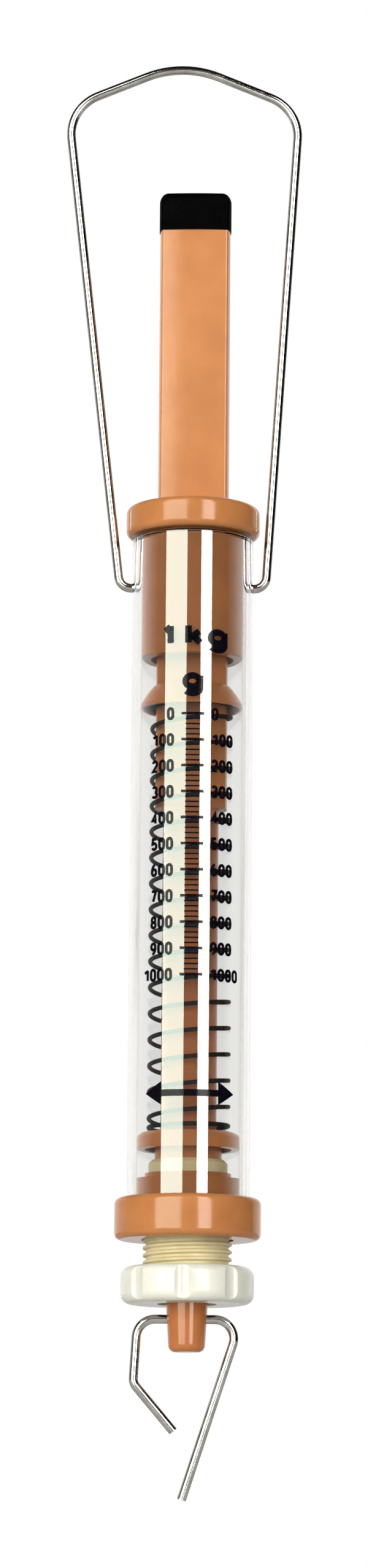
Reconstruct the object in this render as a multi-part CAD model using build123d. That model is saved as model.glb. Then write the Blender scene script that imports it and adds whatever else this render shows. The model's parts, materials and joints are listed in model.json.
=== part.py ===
"""Push-pull spring balance: a clear printed barrel hangs from a wire bail, and a sliding rod squeezes a spring.

Millimetres. The frame's origin is the hang point under the bail's apex, on the barrel's axis. +Z is up and -Y is
the printed front. The shapes are drawn about the bail's pivot, and moved down to the frame at the end.
"""

import math
import os

from build123d import *

# Bail: round wire, with both ends in one pair of cross holes
BAIL_WIRE_D = 1.8
BAIL_REACH = 110.26  # from the pivot to the hang point
BAIL_FOOT = 15.05  # where a leg's line meets the pivot's level
BAIL_SHOULDER = (24.3, 103.0)  # corner of a leg and the roof
BAIL_ROOF = 113.0  # where the two roof runs would meet
BAIL_RADII = (2.6, 9.0, 20.0)  # foot, shoulder and apex
BAIL_LEAN = 0.0255  # the bail sits a little askew in its holes

# Barrel tube
TUBE_R = 12.5
BORE_R = 10.5
TUBE_TOP = 9.8
TUBE_BOTTOM = -129.0
WIRE_HOLE_PLAY = 0.06

# Top cap: flange over the tube, sleeve inside it
FIT_GAP = 0.04  # between parts that are pushed or cemented together
FLANGE_R = 13.8
FLANGE_TOP = 16.7
FLANGE_BOTTOM = 10.6
SLEEVE_BOTTOM = -15.4
SLEEVE_BORE_R = 8.5
EDGE_R = 1.3

# Push rod: flat bar with round edges and slightly crowned faces, keyed in the top cap
ROD_R = 7.35
ROD_FACE = 3.1  # from the axis to the middle of a face
CROWN_R = 70.0
KEY_TURN = -1.5  # degrees, how far the faces are turned from the printed front
GUIDE_PLAY = 0.06
ROD_TOP = 75.9
ROD_BOTTOM = -46.5
TIP_HEIGHT = 8.3
TIP_LIP = 0.15  # how far the tip stands proud of the rod, so that it stops on the cap
TIP_EDGE_R = 2.0
PEG_R = 1.9
PEG_DEPTH = 8.0

# Indicator cone, a skirted collar on the rod
CONE_TOP = -21.1
CONE_RIM = -25.8
CONE_RIM_R = 10.4
CONE_CEILING = -23.9  # the spring's upper seat
CONE_CAVITY_R = 9.1

# Load rod and its hook stem
LOAD_R = 5.7
SPIGOT_R = 2.0
SPIGOT_LENGTH = 12.0
LOAD_SHOULDER = -140.0
STEM_R = 4.4
STEM_TIP_R = 3.65
STEM_START = -143.9
STEM_END = -156.9
STEM_ROUND = 1.5

# Load hook: one wire bent in a plane, through a cross hole in the stem
HOOK_WIRE_D = 1.8
HOOK_LEVEL = -150.3
HOOK_SHORT_END = (-2.55, -172.7)
HOOK_SHORT_KNEE = (-10.7, -163.1)
HOOK_SHORT_CORNER = (-9.95, HOOK_LEVEL)
HOOK_LONG_CORNER = (10.9, HOOK_LEVEL)
HOOK_LONG_END = (-0.8, -186.3)
HOOK_RADII = (2.6, 3.8, 3.8)  # knee, short corner, long corner

# Main spring
SPRING_WIRE_D = 0.9
SPRING_R = 8.05  # to the middle of the wire
SPRING_BOTTOM = -112.8
CLOSED_TURNS = 1.25  # at each end
CLOSED_PITCH = 0.98
ACTIVE_TURNS = 16
SPRING_START = 21.0  # degrees, where the lower end lies

# Spring seat
SEAT_R = 10.4
SEAT_SHOULDER_R = 8.7
SEAT_SHOULDER = -114.0
SEAT_RIM = -116.3
SEAT_CEILING = -114.9
SEAT_RECESS_R = 8.8
SEAT_HUB_R = 6.8
LOAD_BORE_R = 6.0  # of the seat, the zero screw and the knob
FACE_GAP = 0.05

# Zero screw and knob
SCREW_TOP = -118.4
NECK_R = 8.0
NECK_BOTTOM = -127.0
THREAD_R = 9.0
THREAD_ROOT_R = 8.35
THREAD_PITCH = 1.5
KNOB_TOP = -139.8
KNOB_BOTTOM = -147.3
KNOB_R = 13.45
KNOB_LOBES = 8
NOTCH_R = 2.6
NOTCH_DEPTH = 0.75
NOTCH_TURN = -3.6  # degrees, from the printed front
KNOB_EDGE_R = 2.0
TAIL_R = 7.2
TAIL_BOTTOM = -144.9

# Bottom cap: collar around the tube's end, sleeve inside it
LIP_TOP = -121.2
LIP_R = 8.75
LIP_BORE_R = 8.35
BASE_SLEEVE_TOP = -122.3
COLLAR_R = 14.85
COLLAR_TOP = -126.0
COLLAR_BOTTOM = -134.4
GROOVE_BOTTOM = -129.2
NUT_R = 9.3  # the female thread is a plain bore


def rod(radius, low, high):
    """Upright cylinder between two levels."""
    return Pos(0, 0, low) * extrude(Circle(radius), high - low)


def turned(profile):
    """Solid of revolution about Z of a closed outline of (radius, level) points."""
    return revolve(make_face(Polyline(*profile, close=True).locate(Location(Plane.XZ))), Axis.Z)


def edges_at(shape, level, radius):
    """Circular edges of a given radius at a given level."""
    circles = shape.edges().filter_by(GeomType.CIRCLE)
    return [e for e in circles if abs(e.arc_center.Z - level) < 1e-3 and abs(e.radius - radius) < 1e-3]


def keyed_bar(play, low, high):
    """The push rod's section, grown by play all round and turned by the key angle."""
    bar = rod(ROD_R + play, low, high)
    for side in (-1, 1):
        bar = bar & Pos(0, side * (CROWN_R - ROD_FACE), 0) * rod(CROWN_R + play, low, high)
    return Rot(0, 0, KEY_TURN) * bar


def cross_hole(radius, reach, level=0.0):
    """Cylinder along X through the axis."""
    return Pos(0, 0, level) * Rot(0, 90, 0) * Cylinder(radius, 2 * reach)


def bent_wire(points, radii, diameter):
    """Round wire along a filleted polyline in the XZ plane."""
    path = FilletPolyline(*[(x, 0, z) for x, z in points], radius=radii)
    section = Plane(origin=path @ 0, z_dir=path % 0) * Circle(diameter / 2)
    return sweep(section, path=path)


def bail_wire():
    end = (SLEEVE_BORE_R + 0.1, 0)
    half = [end, (BAIL_FOOT, 0), BAIL_SHOULDER]
    outline = [(-x, z) for x, z in half] + [(0, BAIL_ROOF)] + half[::-1]
    leaning = [(x - BAIL_LEAN * z, z) for x, z in outline]
    foot, shoulder, apex = BAIL_RADII
    return bent_wire(leaning, [foot, shoulder, apex, shoulder, foot], BAIL_WIRE_D)


def barrel_tube():
    tube = rod(TUBE_R, TUBE_BOTTOM, TUBE_TOP) - rod(BORE_R, TUBE_BOTTOM - 1, TUBE_TOP + 1)
    tube = chamfer(tube.edges().filter_by(GeomType.CIRCLE), 0.15)
    return tube - cross_hole(BAIL_WIRE_D / 2 + WIRE_HOLE_PLAY, 2 * TUBE_R)


def top_cap():
    cap = rod(FLANGE_R, FLANGE_BOTTOM, FLANGE_TOP) + rod(BORE_R - FIT_GAP, SLEEVE_BOTTOM, FLANGE_BOTTOM)
    cap = fillet(edges_at(cap, FLANGE_TOP, FLANGE_R) + edges_at(cap, FLANGE_BOTTOM, FLANGE_R), EDGE_R)
    cap = cap - rod(SLEEVE_BORE_R, SLEEVE_BOTTOM - 1, FLANGE_BOTTOM)
    cap = fillet(edges_at(cap, SLEEVE_BOTTOM, BORE_R - FIT_GAP), 0.3)
    cap = cap - keyed_bar(GUIDE_PLAY, FLANGE_BOTTOM - 1, FLANGE_TOP + 1)
    return cap - cross_hole(BAIL_WIRE_D / 2 + WIRE_HOLE_PLAY, 2 * TUBE_R)


def push_rod():
    bar = keyed_bar(0, ROD_BOTTOM, ROD_TOP)
    bar = fillet(bar.edges().filter_by(Axis.Z), 0.6)
    peg_hole = rod(PEG_R + FIT_GAP, ROD_TOP - PEG_DEPTH - 0.5, ROD_TOP + 1)
    socket = rod(SPIGOT_R + FIT_GAP, ROD_BOTTOM - 1, ROD_BOTTOM + SPIGOT_LENGTH + 0.5)
    return bar - peg_hole - socket


def push_tip():
    pad = keyed_bar(TIP_LIP, ROD_TOP, ROD_TOP + TIP_HEIGHT)
    pad = fillet(pad.edges().filter_by(Axis.Z), 0.8)
    pad = fillet(pad.faces().sort_by(Axis.Z)[-1].edges(), TIP_EDGE_R)
    return pad + rod(PEG_R, ROD_TOP - PEG_DEPTH, ROD_TOP + 1)


def indicator_cone():
    collar = ROD_R + 0.5
    with BuildSketch(Plane.XZ) as half:
        with BuildLine():
            top = Line((0, CONE_TOP), (collar, CONE_TOP))
            bell = ThreePointArc(top @ 1, (9.5, CONE_TOP - 2.2), (CONE_RIM_R, CONE_RIM + 0.7))
            rim = Polyline(
                bell @ 1, (CONE_RIM_R, CONE_RIM), (CONE_RIM_R - 0.6, CONE_RIM),
                (CONE_CAVITY_R, CONE_CEILING), (0, CONE_CEILING),
            )
            Line(rim @ 1, top @ 0)
        make_face()
    cone = revolve(half.sketch, Axis.Z)
    return cone - keyed_bar(FIT_GAP, CONE_RIM, CONE_TOP + 1)


def load_rod():
    bar = turned([
        (0, ROD_BOTTOM + SPIGOT_LENGTH), (SPIGOT_R, ROD_BOTTOM + SPIGOT_LENGTH), (SPIGOT_R, ROD_BOTTOM),
        (LOAD_R, ROD_BOTTOM), (LOAD_R, LOAD_SHOULDER), (STEM_R, STEM_START), (STEM_TIP_R, STEM_END), (0, STEM_END),
    ])
    bar = fillet(edges_at(bar, STEM_END, STEM_TIP_R), STEM_ROUND)
    return bar - cross_hole(HOOK_WIRE_D / 2 + WIRE_HOLE_PLAY, 2 * LOAD_R, HOOK_LEVEL)


def load_hook():
    points = [HOOK_SHORT_END, HOOK_SHORT_KNEE, HOOK_SHORT_CORNER, HOOK_LONG_CORNER, HOOK_LONG_END]
    return bent_wire(points, list(HOOK_RADII), HOOK_WIRE_D)


def main_spring():
    """Coil with closed ends: three helices, end to end, swept in one go."""
    top = CONE_CEILING - SPRING_WIRE_D / 2 - FACE_GAP
    level = SPRING_BOTTOM + SPRING_WIRE_D / 2 + FACE_GAP
    closed = CLOSED_TURNS * CLOSED_PITCH
    active = top - level - 2 * closed
    angle = SPRING_START
    coils = []
    for turns, height in ((CLOSED_TURNS, closed), (ACTIVE_TURNS, active), (CLOSED_TURNS, closed)):
        helix = Helix(height / turns, height, SPRING_R)
        coils.append(Pos(0, 0, level) * Rot(0, 0, angle) * helix)
        level += height
        angle += 360 * turns
    path = Wire(coils)
    section = Plane(origin=path @ 0, z_dir=path % 0) * Circle(SPRING_WIRE_D / 2)
    return sweep(section, path=path, is_frenet=True)


def spring_seat():
    with BuildSketch(Plane.XZ) as half:
        with BuildLine():
            top = Line((0, SPRING_BOTTOM), (SEAT_SHOULDER_R, SPRING_BOTTOM))
            dome = ThreePointArc(top @ 1, (9.9, SPRING_BOTTOM - 0.45), (SEAT_R, SEAT_SHOULDER))
            under = Polyline(
                dome @ 1, (SEAT_R, SEAT_RIM), (SEAT_RECESS_R, SEAT_RIM), (SEAT_RECESS_R, SEAT_CEILING),
                (SEAT_HUB_R, SEAT_CEILING), (SEAT_HUB_R, SCREW_TOP + FACE_GAP), (0, SCREW_TOP + FACE_GAP),
            )
            Line(under @ 1, top @ 0)
        make_face()
    seat = revolve(half.sketch, Axis.Z)
    return seat - rod(LOAD_BORE_R, SCREW_TOP - 1, SPRING_BOTTOM + 1)


def zero_screw():
    start = KNOB_TOP - THREAD_PITCH
    helix = Pos(0, 0, start) * Helix(THREAD_PITCH, NECK_BOTTOM - start + THREAD_PITCH, THREAD_ROOT_R)
    crest = THREAD_R - THREAD_ROOT_R
    ridge = make_face(Polyline((-0.15, -0.62), (crest, -0.2), (crest, 0.2), (-0.15, 0.62), close=True))
    section = Plane(origin=helix @ 0, x_dir=(1, 0, 0), z_dir=helix % 0) * ridge
    thread = sweep(section, path=helix, is_frenet=True) & rod(THREAD_R + 1, KNOB_TOP, NECK_BOTTOM - 0.2)
    screw = rod(THREAD_ROOT_R, KNOB_TOP, NECK_BOTTOM) + thread
    neck = chamfer(rod(NECK_R, NECK_BOTTOM, SCREW_TOP).faces().sort_by(Axis.Z)[-1].edges(), 0.7)
    screw = screw + neck + rod(TAIL_R, TAIL_BOTTOM, KNOB_TOP)
    return screw - rod(LOAD_BORE_R, TAIL_BOTTOM - 1, SCREW_TOP + 1)


def zero_knob():
    body = rod(KNOB_R, KNOB_BOTTOM, KNOB_TOP)
    body = fillet(body.edges().filter_by(GeomType.CIRCLE), KNOB_EDGE_R)
    reach = KNOB_R - NOTCH_DEPTH + NOTCH_R
    for lobe in range(KNOB_LOBES):
        azimuth = math.radians(-90 + NOTCH_TURN + 360 * lobe / KNOB_LOBES)
        notch = rod(NOTCH_R, KNOB_BOTTOM - 1, KNOB_TOP + 1)
        body = body - Pos(reach * math.cos(azimuth), reach * math.sin(azimuth), 0) * notch
    body = body - rod(TAIL_R + FIT_GAP, TAIL_BOTTOM - 0.1, KNOB_TOP + 1)
    return body - rod(LOAD_BORE_R, KNOB_BOTTOM - 1, KNOB_TOP)


def bottom_cap():
    cap = rod(COLLAR_R, COLLAR_BOTTOM, COLLAR_TOP)
    cap = fillet(cap.edges().filter_by(GeomType.CIRCLE), EDGE_R)
    groove = rod(TUBE_R + FIT_GAP, GROOVE_BOTTOM, COLLAR_TOP + 1) - rod(BORE_R - FIT_GAP, GROOVE_BOTTOM - 1, 0)
    cap = cap - groove
    cap = cap + rod(BORE_R - FIT_GAP, COLLAR_BOTTOM + 2, BASE_SLEEVE_TOP) + rod(LIP_R, COLLAR_BOTTOM + 2, LIP_TOP)
    cap = cap - rod(LIP_BORE_R, COLLAR_BOTTOM - 1, LIP_TOP + 1)
    return cap - rod(NUT_R, COLLAR_BOTTOM - 1, BASE_SLEEVE_TOP - 0.3)


PARTS = (
    bail_wire, barrel_tube, top_cap, push_rod, push_tip, indicator_cone, load_rod, load_hook,
    main_spring, spring_seat, zero_screw, zero_knob, bottom_cap,
)

os.makedirs("parts", exist_ok=True)
for make in PARTS:
    solid = make().solid()
    export_step(Pos(0, 0, -BAIL_REACH) * solid, f"parts/{make.__name__}.step")
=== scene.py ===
"""Looks of the push-pull spring balance: finishes, printed scale, studio light and camera. In metres."""

import json
import math

import bmesh
import bpy
from mathutils import Matrix, Vector


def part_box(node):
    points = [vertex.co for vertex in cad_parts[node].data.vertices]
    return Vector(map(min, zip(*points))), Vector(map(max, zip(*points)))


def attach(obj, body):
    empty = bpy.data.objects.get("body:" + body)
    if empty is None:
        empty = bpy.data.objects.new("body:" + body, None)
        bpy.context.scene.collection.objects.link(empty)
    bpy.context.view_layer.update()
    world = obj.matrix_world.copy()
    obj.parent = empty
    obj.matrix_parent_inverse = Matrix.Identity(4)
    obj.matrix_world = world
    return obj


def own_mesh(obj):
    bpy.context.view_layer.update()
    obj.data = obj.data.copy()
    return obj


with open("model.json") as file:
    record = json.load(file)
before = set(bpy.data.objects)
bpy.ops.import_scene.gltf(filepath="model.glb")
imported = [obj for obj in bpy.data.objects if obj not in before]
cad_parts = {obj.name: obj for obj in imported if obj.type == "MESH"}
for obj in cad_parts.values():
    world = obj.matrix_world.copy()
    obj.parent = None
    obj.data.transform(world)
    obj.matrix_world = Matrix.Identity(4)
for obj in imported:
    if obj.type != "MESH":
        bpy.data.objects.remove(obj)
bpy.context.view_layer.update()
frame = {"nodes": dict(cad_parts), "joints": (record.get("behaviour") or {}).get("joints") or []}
nodes = frame["nodes"]

MM = 0.001

# Places taken from the frame
TUBE_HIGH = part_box("barrel_tube")[1]
TUBE_R = TUBE_HIGH.x
PIVOT_Z = next(joint["pos_m"][2] for joint in frame["joints"] if joint["name"] == "bail_swing")

# Print on the tube, measured along its surface and down from the tube's upper end.
# A tick or a size is a width and a height.
INK_THICKNESS = 0.03 * MM
INK_STEP = 0.4 * MM  # widest flat strip that still hugs the tube
PRINT_TURN = math.radians(1.1)
SCALE_ZERO = 38.3 * MM
SCALE_STEP = 5.34 * MM
STEP_GRAMS = 100
TOP_GRAMS = 1000
MINOR_TICKS = 4
MAJOR_TICK = (4.6 * MM, 0.55 * MM)
MINOR_TICK = (2.9 * MM, 0.3 * MM)
DIGIT_SIZE = (1.6 * MM, 2.7 * MM)
DIGIT_WEIGHT = 0.6 * MM
DIGIT_ADVANCE = 1.74 * MM
COLUMN_GAP = 3.75 * MM  # from the centre line to the nearer end of a numeral
LETTER_HEIGHT = 4.9 * MM
LETTER_WEIGHT = 1.35 * MM
GRAM_BASE = 33.5 * MM
CAPACITY_BASE = 24.35 * MM
MARK_LEVEL = 115.6 * MM
MARK_SIZE = (19.5 * MM, 4.8 * MM)
MARK_HEAD = 1.6  # arrowhead's length, as a part of half the mark's height
MARK_SHAFT = 0.28  # shaft's height, as a part of the mark's height
ARC_STEP = 20  # degrees between the points of a round stroke
MITRE_LIMIT = 0.5  # keeps the corners of sharp turns short

# Letters of the print: character, left edge and width
UNIT_LETTER = ("g", -2.2 * MM, 4.4 * MM)
CAPACITY_LETTERS = (
    ("1", -6.7 * MM, 2.85 * MM),
    ("k", -1.75 * MM, 3.9 * MM),
    ("g", 2.95 * MM, 4.6 * MM),
)

# Finishes, each with its darker and its lighter tone
BROWN = ((0.43, 0.165, 0.052), (0.49, 0.195, 0.064))
ROD_BROWN = ((0.5, 0.2, 0.075), (0.56, 0.23, 0.088))
STEM_BROWN = ((0.42, 0.145, 0.048), (0.48, 0.168, 0.057))
PALE_BROWN = ((0.5, 0.19, 0.062), (0.56, 0.22, 0.076))
WHITE_NYLON = ((0.66, 0.66, 0.58), (0.74, 0.74, 0.66))
THREAD_NYLON = ((0.58, 0.5, 0.28), (0.68, 0.6, 0.37))
RUBBER = ((0.0002, 0.0002, 0.0002), (0.0008, 0.0008, 0.0009))
BRIGHT_WIRE = ((0.5, 0.47, 0.44), (0.7, 0.68, 0.66))
SPRING_WIRE = ((0.012, 0.008, 0.006), (0.04, 0.029, 0.022))
WIRE_EDGE = (0.15, 0.13, 0.12, 1)
INK = ((0.0015, 0.0015, 0.003), (0.005, 0.004, 0.007))
TUBE_TINT = (0.975, 0.975, 0.965, 1)
TUBE_SHADOW_TINT = (0.97, 0.94, 0.92, 1)
TONE_RANGE = (0.35, 0.65)  # levels of the noise between which a tone changes
NOISE_ROUGHNESS = 0.55
PLASTIC_GLOSS = 0.3
PLASTIC_ROUGHNESS = 0.14
STEM_ROUGHNESS = 0.1

# Painted shadow on the top cap, in the gap between the tube's end and the cap's flange
PAINTED_SHADOW_OVERLAP = 0.1 * MM
PAINTED_SHADOW_HEIGHT = 0.72 * MM
PAINTED_SEAM_SHADOW = (0.006, 0.002, 0.001, 1)

# Camera
CAMERA_DISTANCE = 1.0
CAMERA_BELOW_PIVOT = 0.215
CAMERA_PITCH = math.radians(9.874)
CAMERA_YAW = math.radians(0.0835)
CAMERA_ROLL = math.radians(0.4776)
CAMERA_LENS = 113.66
CAMERA_SENSOR = 36.0

# Studio. Azimuths are in degrees, counted from the camera's side towards +X.
BACKDROP_WHITE = (1.0, 1.0, 1.0)
FLOOR_DROP = 0.46
FLOOR_R = 3.0
FLOOR_SEGMENTS = 96
FLOOR_GREY = (0.78, 0.78, 0.77, 1)
FLOOR_FADE = (0.4, 2.5)  # distances from its middle, between which it turns white
FLOOR_WHITENESS = 0.55  # share of white in its middle
AMBIENT = 0.34
ROOM_TINT = (1.0, 0.985, 0.96)
SOFTBOX_DISTANCE = 3.0
SOFTBOX_LOW = -0.75
SOFTBOX_HIGH = 1.25

# A softbox's light and tint fall on matt colour. Polished surfaces show its glow and mirrored colour.
SOFTBOXES = {
    "left": {
        "azimuths": (-52, -10.4),
        "light": 6.8,
        "tint": (1.0, 0.985, 0.93),
        "glow": 8.6,
        "mirrored": (0.87, 1.0, 0.88),
    },
    "right": {
        "azimuths": (16, 37),
        "light": 4.5,
        "tint": (1.0, 1.0, 0.99),
        "glow": 12.0,
        "mirrored": (1.0, 1.0, 0.98),
    },
    "back": {
        "azimuths": (140, 175),
        "light": 3.0,
        "tint": (1.0, 1.0, 1.0),
        "glow": 1.1,
        "mirrored": (1.0, 1.0, 1.0),
    },
}
STRIP_TOP = 0.7  # sine of the elevation where the mirrored strips end
FLAG_AZIMUTHS = (37, 125)

# Brightness of what polished surfaces mirror, and the parts of the direction over which it changes
MIRRORED_ROOM = 0.14
MIRRORED_SWEEP = 1.1
SWEEP_EDGE = (0.1, 0.75)
MIRRORED_FLAG = 0.02
MIRRORED_OVERHEAD = 0.05
OVERHEAD_EDGE = (0.35, 0.6)
SEEN_IN_TUBE_WALL = (0.1, 1.0)  # towards the camera's side, and away from it
TUBE_WALL_EDGE = (-0.2, 0.3)
ONE_BOUNCE = 0.5  # threshold between no bounce of light and one


# ---------------------------------------------------------------- node helpers


def new_material(name):
    """Empty node material with its output and a Principled shader."""
    material = bpy.data.materials.new(name)
    material.use_nodes = True
    tree = material.node_tree
    tree.nodes.clear()
    output = tree.nodes.new("ShaderNodeOutputMaterial")
    shader = tree.nodes.new("ShaderNodeBsdfPrincipled")
    tree.links.new(shader.outputs["BSDF"], output.inputs["Surface"])
    return material, tree, shader


def feed(tree, socket, value):
    """Sets a socket to a plain number, or links it to another socket."""
    if isinstance(value, (int, float)):
        socket.default_value = value
    else:
        tree.links.new(value, socket)


def noise(tree, scale, detail, stretch=(1.0, 1.0, 1.0)):
    """Noise over the object's own coordinates, stretched along an axis where asked."""
    coordinates = tree.nodes.new("ShaderNodeTexCoord")
    mapping = tree.nodes.new("ShaderNodeMapping")
    mapping.inputs["Scale"].default_value = stretch
    texture = tree.nodes.new("ShaderNodeTexNoise")
    texture.inputs["Scale"].default_value = scale
    texture.inputs["Detail"].default_value = detail
    texture.inputs["Roughness"].default_value = NOISE_ROUGHNESS
    tree.links.new(coordinates.outputs["Object"], mapping.inputs["Vector"])
    tree.links.new(mapping.outputs["Vector"], texture.inputs["Vector"])
    return texture.outputs["Fac"]


def ramp(tree, value, low, high, start=0.3, end=0.7):
    """Value remapped from start..end to low..high, which are sockets or plain numbers."""
    node = tree.nodes.new("ShaderNodeMapRange")
    node.inputs["From Min"].default_value = start
    node.inputs["From Max"].default_value = end
    feed(tree, node.inputs["To Min"], low)
    feed(tree, node.inputs["To Max"], high)
    tree.links.new(value, node.inputs["Value"])
    return node.outputs["Result"]


def maths(tree, operation, first, second):
    """Math node whose two inputs are sockets or plain numbers."""
    node = tree.nodes.new("ShaderNodeMath")
    node.operation = operation
    feed(tree, node.inputs[0], first)
    feed(tree, node.inputs[1], second)
    return node.outputs["Value"]


def between(tree, value, low, high):
    """1 where a value lies between two levels, else 0."""
    above = maths(tree, "GREATER_THAN", value, low)
    return maths(tree, "MULTIPLY", above, maths(tree, "LESS_THAN", value, high))


def axes(tree, coordinates):
    """X, Y and Z of the object's own coordinates, or of the direction of a ray in the world."""
    source = tree.nodes.new("ShaderNodeTexCoord")
    parts = tree.nodes.new("ShaderNodeSeparateXYZ")
    tree.links.new(source.outputs[coordinates], parts.inputs["Vector"])
    return parts.outputs


def two_tones(tree, value, tones):
    """Colour between two tones."""
    node = tree.nodes.new("ShaderNodeValToRGB")
    for element, position, tone in zip(node.color_ramp.elements, TONE_RANGE, tones):
        element.position = position
        element.color = (*tone, 1)
    tree.links.new(value, node.inputs["Fac"])
    return node.outputs["Color"]


def bump(tree, shader, height, depth):
    """Fine relief, with its depth in metres."""
    node = tree.nodes.new("ShaderNodeBump")
    node.inputs["Strength"].default_value = 1.0
    node.inputs["Distance"].default_value = depth
    tree.links.new(height, node.inputs["Height"])
    tree.links.new(node.outputs["Normal"], shader.inputs["Normal"])


def uneven_roughness(tree, shader, pattern, low, high):
    """Roughness that follows a pattern between two values."""
    tree.links.new(ramp(tree, pattern, low, high), shader.inputs["Roughness"])


def shader_mix(tree, factor, first, second):
    """First shader where the factor is 0, second where it is 1."""
    mix = tree.nodes.new("ShaderNodeMixShader")
    tree.links.new(factor, mix.inputs["Fac"])
    tree.links.new(first, mix.inputs[1])
    tree.links.new(second, mix.inputs[2])
    return mix.outputs["Shader"]


def output_of(tree):
    return next(node for node in tree.nodes if node.type == "OUTPUT_MATERIAL")


# ---------------------------------------------------------------- materials


def paint_seam_shadow(tree, tone, low, high):
    """Darkens a colour between two levels: a painted shadow in a seam."""
    mix = tree.nodes.new("ShaderNodeMix")
    mix.data_type = "RGBA"
    first, second = (socket for socket in mix.inputs if socket.type == "RGBA")
    second.default_value = PAINTED_SEAM_SHADOW
    tree.links.new(between(tree, axes(tree, "Object")["Z"], low, high), mix.inputs[0])
    tree.links.new(tone, first)
    return next(socket for socket in mix.outputs if socket.type == "RGBA")


def moulded_plastic(name, tones, rough, painted_shadow_band=None):
    """Glossy injection moulding: a slight cloudiness in its colour and the faint peel of a polished tool."""
    material, tree, shader = new_material(name)
    tone = two_tones(tree, noise(tree, scale=140, detail=4), tones)
    # Where asked, a painted shadow darkens the colour in a band.
    if painted_shadow_band:
        tone = paint_seam_shadow(tree, tone, *painted_shadow_band)
    tree.links.new(tone, shader.inputs["Base Color"])
    uneven_roughness(tree, shader, noise(tree, scale=420, detail=3), low=rough * 0.85, high=rough * 1.2)
    shader.inputs["Specular IOR Level"].default_value = PLASTIC_GLOSS
    bump(tree, shader, noise(tree, scale=700, detail=2), depth=0.012 * MM)
    return material


def clear_plastic():
    """Polished clear tube with faint drawing lines. Lamps shine through it."""
    material, tree, shader = new_material("clear_plastic")
    shader.inputs["Base Color"].default_value = TUBE_TINT
    shader.inputs["Transmission Weight"].default_value = 1.0
    shader.inputs["IOR"].default_value = 1.49
    shader.inputs["Coat Weight"].default_value = 1.0
    shader.inputs["Coat IOR"].default_value = 1.6
    shader.inputs["Coat Roughness"].default_value = 0.01
    lines = noise(tree, scale=260, detail=3, stretch=(1.0, 1.0, 0.06))
    uneven_roughness(tree, shader, lines, low=0.01, high=0.05)
    bump(tree, shader, lines, depth=0.004 * MM)
    path = tree.nodes.new("ShaderNodeLightPath")
    through = tree.nodes.new("ShaderNodeBsdfTransparent")
    through.inputs["Color"].default_value = TUBE_SHADOW_TINT
    shown = shader_mix(tree, path.outputs["Is Shadow Ray"], shader.outputs["BSDF"], through.outputs["BSDF"])
    tree.links.new(shown, output_of(tree).inputs["Surface"])
    return material


def nylon(name, tones, rough, milk):
    """Milky nylon, with light bleeding a little way into it."""
    material, tree, shader = new_material(name)
    tree.links.new(two_tones(tree, noise(tree, scale=180, detail=4), tones), shader.inputs["Base Color"])
    uneven_roughness(tree, shader, noise(tree, scale=500, detail=3), low=rough * 0.85, high=rough * 1.2)
    shader.inputs["Specular IOR Level"].default_value = PLASTIC_GLOSS
    shader.inputs["Subsurface Weight"].default_value = milk
    shader.inputs["Subsurface Radius"].default_value = (1.0, 0.9, 0.6)
    shader.inputs["Subsurface Scale"].default_value = 2.0 * MM
    bump(tree, shader, noise(tree, scale=900, detail=3), depth=0.015 * MM)
    return material


def black_rubber():
    """Dull rubber that hardly mirrors anything."""
    material, tree, shader = new_material("black_rubber")
    tree.links.new(two_tones(tree, noise(tree, scale=350, detail=4), RUBBER), shader.inputs["Base Color"])
    uneven_roughness(tree, shader, noise(tree, scale=900, detail=3), low=0.5, high=0.7)
    shader.inputs["Specular IOR Level"].default_value = 0.01
    bump(tree, shader, noise(tree, scale=2200, detail=3), depth=0.02 * MM)
    return material


def drawn_wire(name, tones, rough, relief):
    """Metal wire with the marks of its drawing, a little tarnish and dark edges."""
    material, tree, shader = new_material(name)
    tree.links.new(two_tones(tree, noise(tree, scale=300, detail=5), tones), shader.inputs["Base Color"])
    shader.inputs["Metallic"].default_value = 1.0
    shader.inputs["Specular Tint"].default_value = WIRE_EDGE
    uneven_roughness(tree, shader, noise(tree, scale=600, detail=4), low=rough * 0.7, high=rough * 1.4)
    bump(tree, shader, noise(tree, scale=1600, detail=4), relief)
    return material


def ink():
    """Screen-printed black ink, slightly uneven."""
    material, tree, shader = new_material("print_ink")
    tree.links.new(two_tones(tree, noise(tree, scale=1500, detail=3), INK), shader.inputs["Base Color"])
    uneven_roughness(tree, shader, noise(tree, scale=1200, detail=3), low=0.06, high=0.12)
    shader.inputs["Specular IOR Level"].default_value = 0.1
    return material


def dress(node, material):
    """Gives a CAD node its finish."""
    mesh = nodes[node].data
    mesh.materials.clear()
    mesh.materials.append(material)


def painted_shadow_levels():
    """Levels of the painted seam shadow, in the top cap's own coordinates."""
    tube_top = (nodes["top_cap"].matrix_world.inverted() @ TUBE_HIGH).z
    return tube_top - PAINTED_SHADOW_OVERLAP, tube_top + PAINTED_SHADOW_HEIGHT


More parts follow.
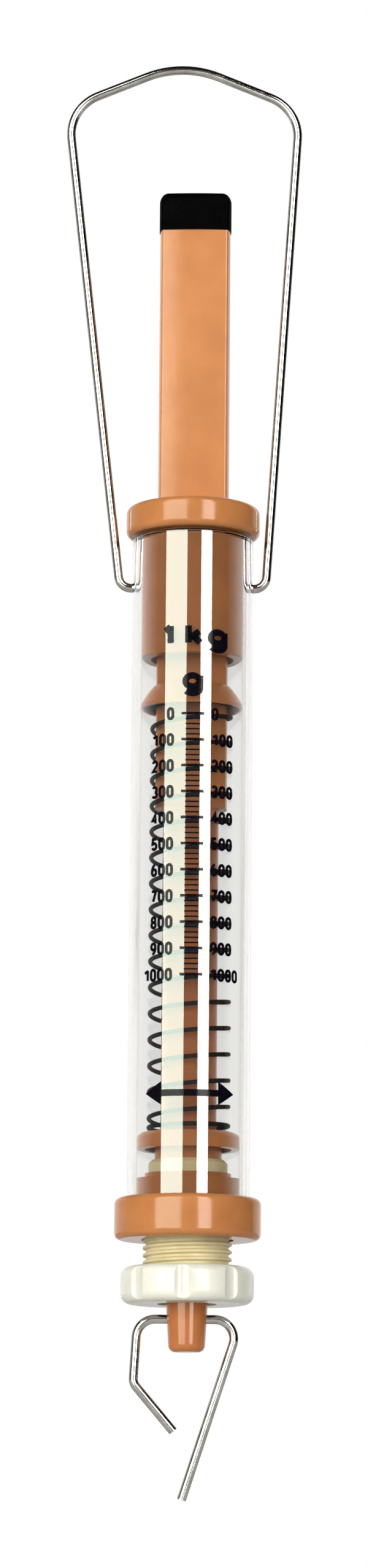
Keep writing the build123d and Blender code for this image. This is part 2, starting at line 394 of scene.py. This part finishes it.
def dress_all():
    dress("bottom_cap", moulded_plastic("brown_plastic", BROWN, PLASTIC_ROUGHNESS))
    # The top cap gets a painted shadow in the seam under its flange.
    dress("top_cap", moulded_plastic("brown_plastic_cap_painted_shadow", BROWN, PLASTIC_ROUGHNESS, painted_shadow_levels()))
    dress("push_rod", moulded_plastic("brown_plastic_rod", ROD_BROWN, PLASTIC_ROUGHNESS))
    dress("load_rod", moulded_plastic("brown_plastic_deep", STEM_BROWN, STEM_ROUGHNESS))
    pale = moulded_plastic("brown_plastic_pale", PALE_BROWN, PLASTIC_ROUGHNESS)
    for node in ("indicator_cone", "spring_seat"):
        dress(node, pale)
    bright = drawn_wire("bright_wire", BRIGHT_WIRE, rough=0.1, relief=0.008 * MM)
    for node in ("bail_wire", "load_hook"):
        dress(node, bright)
    dress("barrel_tube", clear_plastic())
    dress("zero_knob", nylon("nylon", WHITE_NYLON, rough=0.2, milk=0.35))
    dress("zero_screw", nylon("nylon_thread", THREAD_NYLON, rough=0.4, milk=0.2))
    dress("push_tip", black_rubber())
    dress("main_spring", drawn_wire("spring_wire", SPRING_WIRE, rough=0.3, relief=0.015 * MM))


# ---------------------------------------------------------------- printed scale


def flat_box(bm, centre, size):
    """Closed bar of ink, drawn flat: X runs around the tube, Y runs up it and Z is out of it."""
    stretch = Matrix.Diagonal((size[0], size[1], INK_THICKNESS, 1))
    place = Matrix.Translation((centre[0], centre[1], INK_THICKNESS / 2))
    bmesh.ops.create_cube(bm, size=1, matrix=place @ stretch)


def flat_outline(bm, points):
    """Closed slab of ink over an outline."""
    base = [bm.verts.new((x, y, 0)) for x, y in points]
    face = bm.faces.new(base)
    raised = bmesh.ops.extrude_face_region(bm, geom=[face])
    top = [item for item in raised["geom"] if isinstance(item, bmesh.types.BMVert)]
    bmesh.ops.translate(bm, verts=top, vec=(0, 0, INK_THICKNESS))


def arc(centre_x, centre_y, radius_x, radius_y, start, end):
    """Points along an elliptical arc, angles in degrees and anticlockwise from the right."""
    count = max(3, round(abs(end - start) / ARC_STEP))
    points = []
    for index in range(count + 1):
        angle = math.radians(start + (end - start) * index / count)
        points.append((centre_x + radius_x * math.cos(angle), centre_y + radius_y * math.sin(angle)))
    return points


# Strokes of each character, as points along their middle, in a box 1 wide and 1 high. A g hangs below it.
STROKES = {
    "0": [arc(0.5, 0.7, 0.5, 0.3, 0, 180) + arc(0.5, 0.3, 0.5, 0.3, 180, 360) + [(1, 0.7)]],
    "1": [[(0.85, 0), (0.85, 1)], [(0.85, 0.95), (0.05, 0.72)]],
    "2": [arc(0.5, 0.72, 0.48, 0.28, 170, -30) + [(0.02, 0), (1, 0)]],
    "3": [arc(0.47, 0.75, 0.46, 0.25, 155, -90), arc(0.47, 0.25, 0.53, 0.25, 90, -155)],
    "4": [[(0.74, 0), (0.74, 1), (0, 0.28), (1, 0.28)]],
    "5": [[(0.92, 1), (0.15, 1), (0.06, 0.52)] + arc(0.48, 0.3, 0.5, 0.3, 130, -155)],
    "6": [arc(0.5, 0.3, 0.5, 0.3, 0, 360), arc(0.68, 0.3, 0.68, 0.7, 180, 85)],
    "7": [[(0, 1), (1, 1), (0.35, 0)]],
    "8": [arc(0.5, 0.76, 0.43, 0.24, 0, 360), arc(0.5, 0.26, 0.5, 0.26, 0, 360)],
    "9": [arc(0.5, 0.7, 0.5, 0.3, 0, 360), arc(0.32, 0.7, 0.68, 0.7, 0, -95)],
    "k": [[(0.02, 0), (0.02, 1)], [(0.9, 0.66), (0.1, 0.24)], [(0.38, 0.38), (0.98, 0)]],
    "g": [arc(0.46, 0.33, 0.46, 0.33, 0, 360), [(0.96, 0.66)] + arc(0.48, -0.12, 0.48, 0.25, 0, -155)],
}


def draw_stroke(bm, points, weight):
    """Closed ribbon of ink along a line of points."""
    path = [Vector(point) for point in points]
    runs = [(end - start).normalized() for start, end in zip(path, path[1:])]
    rings = []
    for point, before, after in zip(path, [runs[0], *runs], [*runs, runs[-1]]):
        along = (before + after).normalized()
        across = Vector((-along.y, along.x)) * weight / 2 / max(MITRE_LIMIT, along.dot(after))
        corners = [(point - across, 0), (point + across, 0), (point + across, 1), (point - across, 1)]
        rings.append([bm.verts.new((*place, level * INK_THICKNESS)) for place, level in corners])
    for first, second in zip(rings, rings[1:]):
        for side in range(4):
            other = (side + 1) % 4
            bm.faces.new((first[side], first[other], second[other], second[side]))
    bm.faces.new(rings[0][::-1])
    bm.faces.new(rings[-1])


def write(bm, character, left, base, size, weight):
    """Adds one character that stands on base, with its strokes kept inside its width and height."""
    width, height = size[0] - weight, size[1] - weight
    for stroke in STROKES[character]:
        middle = [(left + weight / 2 + x * width, base + weight / 2 + y * height) for x, y in stroke]
        draw_stroke(bm, middle, weight)


def write_number(bm, text, start, base, side):
    """Writes a number on one side of the centre line, with its nearer end at start."""
    for index, character in enumerate(text if side > 0 else text[::-1]):
        middle = side * (start + (index + 0.5) * DIGIT_ADVANCE)
        write(bm, character, middle - DIGIT_SIZE[0] / 2, base, DIGIT_SIZE, DIGIT_WEIGHT)


def write_scale(bm):
    """Long tick and numerals at each 100 g, with short ticks between them."""
    steps = TOP_GRAMS // STEP_GRAMS
    for step in range(steps + 1):
        level = -SCALE_ZERO - step * SCALE_STEP
        flat_box(bm, (0, level), MAJOR_TICK)
        for side in (-1, 1):
            write_number(bm, str(STEP_GRAMS * step), COLUMN_GAP, level - DIGIT_SIZE[1] / 2, side)
        if step == steps:
            break
        for minor in range(1, MINOR_TICKS + 1):
            flat_box(bm, (0, level - minor * SCALE_STEP / (MINOR_TICKS + 1)), MINOR_TICK)


def write_units(bm):
    """The unit over the scale and the capacity above it."""
    rows = [(UNIT_LETTER, GRAM_BASE), *((letter, CAPACITY_BASE) for letter in CAPACITY_LETTERS)]
    for (character, left, width), base in rows:
        write(bm, character, left, -base, (width, LETTER_HEIGHT), LETTER_WEIGHT)


def draw_push_pull_sign(bm):
    """Plain double arrow, the usual sign for a balance that works both ways."""
    half = MARK_SIZE[0] / 2
    tall = MARK_SIZE[1] / 2
    neck = half - MARK_HEAD * tall
    shaft = MARK_SHAFT * tall
    right = [(neck, -tall), (half, 0), (neck, tall), (neck, shaft)]
    left = [(-x, -y) for x, y in right]
    outline = [(neck, -shaft), *right, (-neck, shaft), *left]
    flat_outline(bm, [(x, y - MARK_LEVEL) for x, y in outline])


def slice_into_strips(bm):
    """Cuts the flat print across, so that it can bend around the tube."""
    reach = math.ceil(math.pi * TUBE_R / INK_STEP / 2)
    for index in range(-reach, reach + 1):
        everything = [*bm.verts, *bm.edges, *bm.faces]
        bmesh.ops.bisect_plane(bm, geom=everything, plane_co=(index * INK_STEP, 0, 0), plane_no=(1, 0, 0))


def wrap_around_tube(bm):
    for vertex in bm.verts:
        angle = vertex.co.x / TUBE_R + PRINT_TURN
        radius = TUBE_R + vertex.co.z
        vertex.co = (radius * math.sin(angle), -radius * math.cos(angle), TUBE_HIGH.z + vertex.co.y)


def add_print():
    bm = bmesh.new()
    write_scale(bm)
    write_units(bm)
    draw_push_pull_sign(bm)
    slice_into_strips(bm)
    wrap_around_tube(bm)
    bmesh.ops.recalc_face_normals(bm, faces=bm.faces)
    mesh = bpy.data.meshes.new("printed_scale")
    bm.to_mesh(mesh)
    bm.free()
    mesh.materials.append(ink())
    printed = bpy.data.objects.new("printed_scale", mesh)
    bpy.context.scene.collection.objects.link(printed)
    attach(printed, "barrel")


# ---------------------------------------------------------------- spring


def let_spring_shorten():
    """Gives the spring a mesh of its own."""
    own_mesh(nodes["main_spring"])


# ---------------------------------------------------------------- studio


def path_mix(tree, camera_shader, other_shader):
    """Shows one shader to the eye, straight or through clear plastic, and the other to all else."""
    path = tree.nodes.new("ShaderNodeLightPath")
    bounces = maths(tree, "ADD", path.outputs["Diffuse Depth"], path.outputs["Glossy Depth"])
    return shader_mix(tree, maths(tree, "LESS_THAN", bounces, ONE_BOUNCE), other_shader, camera_shader)


def background(tree, colour, strength):
    """Light from all round, whose strength is a socket or a plain number."""
    node = tree.nodes.new("ShaderNodeBackground")
    node.inputs["Color"].default_value = (*colour, 1)
    feed(tree, node.inputs["Strength"], strength)
    return node.outputs["Background"]


def mirrored_room(tree, direction, azimuth):
    """Brightness of a grey room with a white sweep behind, a black flag on the right and one overhead."""
    sweep = ramp(tree, direction["Y"], MIRRORED_ROOM, MIRRORED_SWEEP, *SWEEP_EDGE)
    flag_start, flag_end = (math.radians(angle) for angle in FLAG_AZIMUTHS)
    flag = ramp(tree, between(tree, azimuth, flag_start, flag_end), 1.0, MIRRORED_FLAG, 0, 1)
    overhead = ramp(tree, direction["Z"], 1.0, MIRRORED_OVERHEAD, *OVERHEAD_EDGE)
    return maths(tree, "MULTIPLY", maths(tree, "MULTIPLY", sweep, flag), overhead)


def mirrored_studio(tree, direction):
    """What polished surfaces mirror: the room, and the softboxes as tall strips."""
    azimuth = maths(tree, "ARCTAN2", direction["X"], maths(tree, "MULTIPLY", direction["Y"], -1))
    below_top = maths(tree, "LESS_THAN", direction["Z"], STRIP_TOP)
    shown = background(tree, ROOM_TINT, mirrored_room(tree, direction, azimuth))
    for box in SOFTBOXES.values():
        start, end = (math.radians(angle) for angle in box["azimuths"])
        strip = maths(tree, "MULTIPLY", between(tree, azimuth, start, end), below_top)
        shown = shader_mix(tree, strip, shown, background(tree, box["mirrored"], box["glow"]))
    return shown


def add_world():
    """White to the eye, the mirrored studio in reflections and a dim room for all other light."""
    world = bpy.data.worlds.new("studio")
    bpy.context.scene.world = world
    world.use_nodes = True
    tree = world.node_tree
    tree.nodes.clear()
    output = tree.nodes.new("ShaderNodeOutputWorld")
    path = tree.nodes.new("ShaderNodeLightPath")
    direction = axes(tree, "Generated")
    in_tube_wall = ramp(tree, direction["Y"], *SEEN_IN_TUBE_WALL, *TUBE_WALL_EDGE)
    matt = maths(tree, "GREATER_THAN", path.outputs["Diffuse Depth"], ONE_BOUNCE)
    room = background(tree, ROOM_TINT, ramp(tree, matt, in_tube_wall, AMBIENT, 0, 1))
    mirrored = maths(tree, "SUBTRACT", path.outputs["Is Glossy Ray"], path.outputs["Is Transmission Ray"])
    lit = shader_mix(tree, mirrored, room, mirrored_studio(tree, direction))
    shown = path_mix(tree, background(tree, BACKDROP_WHITE, 1.0), lit)
    tree.links.new(shown, output.inputs["Surface"])


def floor_material():
    """Pale grey that fades into the white of the room."""
    material, tree, shader = new_material("floor")
    shader.inputs["Base Color"].default_value = FLOOR_GREY
    shader.inputs["Roughness"].default_value = 0.9
    shader.inputs["Specular IOR Level"].default_value = 0.1
    coordinates = tree.nodes.new("ShaderNodeTexCoord")
    length = tree.nodes.new("ShaderNodeVectorMath")
    length.operation = "LENGTH"
    tree.links.new(coordinates.outputs["Object"], length.inputs[0])
    fade = ramp(tree, length.outputs["Value"], FLOOR_WHITENESS, 1.0, *FLOOR_FADE)
    white = tree.nodes.new("ShaderNodeEmission")
    white.inputs["Color"].default_value = (*BACKDROP_WHITE, 1)
    blend = shader_mix(tree, fade, shader.outputs["BSDF"], white.outputs["Emission"])
    tree.links.new(path_mix(tree, blend, shader.outputs["BSDF"]), output_of(tree).inputs["Surface"])
    return material


def add_floor():
    bm = bmesh.new()
    bmesh.ops.create_circle(bm, cap_ends=True, segments=FLOOR_SEGMENTS, radius=FLOOR_R)
    mesh = bpy.data.meshes.new("floor")
    bm.to_mesh(mesh)
    bm.free()
    mesh.materials.append(floor_material())
    floor = bpy.data.objects.new("floor", mesh)
    floor.location = (0, 0, -FLOOR_DROP)
    bpy.context.scene.collection.objects.link(floor)


def add_softbox(name, box):
    """Tall softbox that lights matt colour. Its mirror image is a strip in the world."""
    from_azimuth, to_azimuth = (math.radians(angle) for angle in box["azimuths"])
    middle = (from_azimuth + to_azimuth) / 2
    width = 2 * SOFTBOX_DISTANCE * math.tan((to_azimuth - from_azimuth) / 2)
    height = SOFTBOX_HIGH - SOFTBOX_LOW
    lamp = bpy.data.lights.new(f"softbox_{name}", "AREA")
    lamp.shape = "RECTANGLE"
    lamp.size = width
    lamp.size_y = height
    lamp.energy = box["light"] * math.pi * width * height
    lamp.color = box["tint"]
    lit = bpy.data.objects.new(lamp.name, lamp)
    level = PIVOT_Z + (SOFTBOX_LOW + SOFTBOX_HIGH) / 2
    lit.location = (SOFTBOX_DISTANCE * math.sin(middle), -SOFTBOX_DISTANCE * math.cos(middle), level)
    lit.rotation_euler = (math.pi / 2, 0, middle)
    lit.visible_camera = False
    lit.visible_glossy = False
    lit.visible_transmission = False
    bpy.context.scene.collection.objects.link(lit)


def add_lights():
    for name, box in SOFTBOXES.items():
        add_softbox(name, box)


def add_camera():
    data = bpy.data.cameras.new("camera")
    data.sensor_width = CAMERA_SENSOR
    data.lens = CAMERA_LENS
    data.clip_start = 0.01
    data.clip_end = 100
    camera = bpy.data.objects.new("camera", data)
    place = Matrix.Translation((0, -CAMERA_DISTANCE, PIVOT_Z - CAMERA_BELOW_PIVOT))
    yaw = Matrix.Rotation(CAMERA_YAW, 4, "Z")
    pitch = Matrix.Rotation(math.pi / 2 + CAMERA_PITCH, 4, "X")
    roll = Matrix.Rotation(CAMERA_ROLL, 4, "Z")
    camera.matrix_world = place @ yaw @ pitch @ roll
    bpy.context.scene.collection.objects.link(camera)
    bpy.context.scene.camera = camera


def set_colours():
    bpy.context.scene.view_settings.view_transform = "Standard"
    bpy.context.scene.view_settings.look = "None"


dress_all()
add_print()
let_spring_shorten()
add_world()
add_floor()
add_lights()
add_camera()
set_colours()
